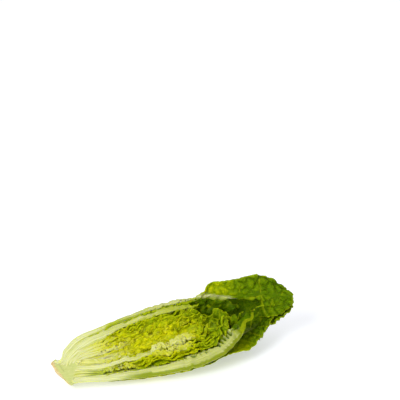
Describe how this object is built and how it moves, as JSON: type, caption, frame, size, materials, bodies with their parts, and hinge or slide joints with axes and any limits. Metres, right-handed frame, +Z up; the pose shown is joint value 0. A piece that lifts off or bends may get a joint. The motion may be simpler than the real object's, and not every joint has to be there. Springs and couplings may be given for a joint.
{
  "type": "halved romaine lettuce heart",
  "caption": "Romaine lettuce heart cut in half lengthwise, lying cut face up: nested curling leaves with pale ribs around a short core, dark leafy tips.",
  "frame": {"origin": "on the surface it lies on, under the middle of the half head", "axes": "+X from the butt towards the leaf tips, +Y towards the raised back edge of the cut face, +Z up from the surface it lies on"},
  "size_m": [0.2482, 0.0708, 0.0708],
  "materials": {
    "core_flesh": "moist cut stem flesh, pale yellow green with a browned rim at the butt",
    "outer_leaf": "semi-gloss blistered leaf, dark green at the tip, pale at the rib and foot",
    "pale_leaf": "semi-gloss pale green leaf with a whitish juicy rib",
    "heart_leaf": "satin crinkled yellow-green heart leaf"
  },
  "bodies": {
    "root": {"core": "core_flesh", "leaf_outer_bottom": "outer_leaf", "leaf_outer_front": "outer_leaf", "leaf_wrap_front": "pale_leaf", "leaf_outer_back": "outer_leaf", "leaf_front_band": "pale_leaf", "leaf_wrap_back": "pale_leaf", "leaf_back_rib": "pale_leaf", "leaf_front_fold": "pale_leaf", "heart_leaf_01": "heart_leaf", "heart_leaf_02": "heart_leaf", "heart_leaf_03": "heart_leaf", "heart_leaf_04": "heart_leaf", "heart_leaf_05": "heart_leaf", "heart_leaf_06": "heart_leaf", "heart_leaf_07": "heart_leaf", "heart_leaf_08": "heart_leaf", "heart_leaf_front_rib": "heart_leaf", "heart_leaf_09": "heart_leaf", "heart_leaf_10": "heart_leaf", "heart_leaf_11": "heart_leaf", "heart_leaf_12": "heart_leaf", "heart_leaf_13": "heart_leaf"}
  },
  "joints": []
}
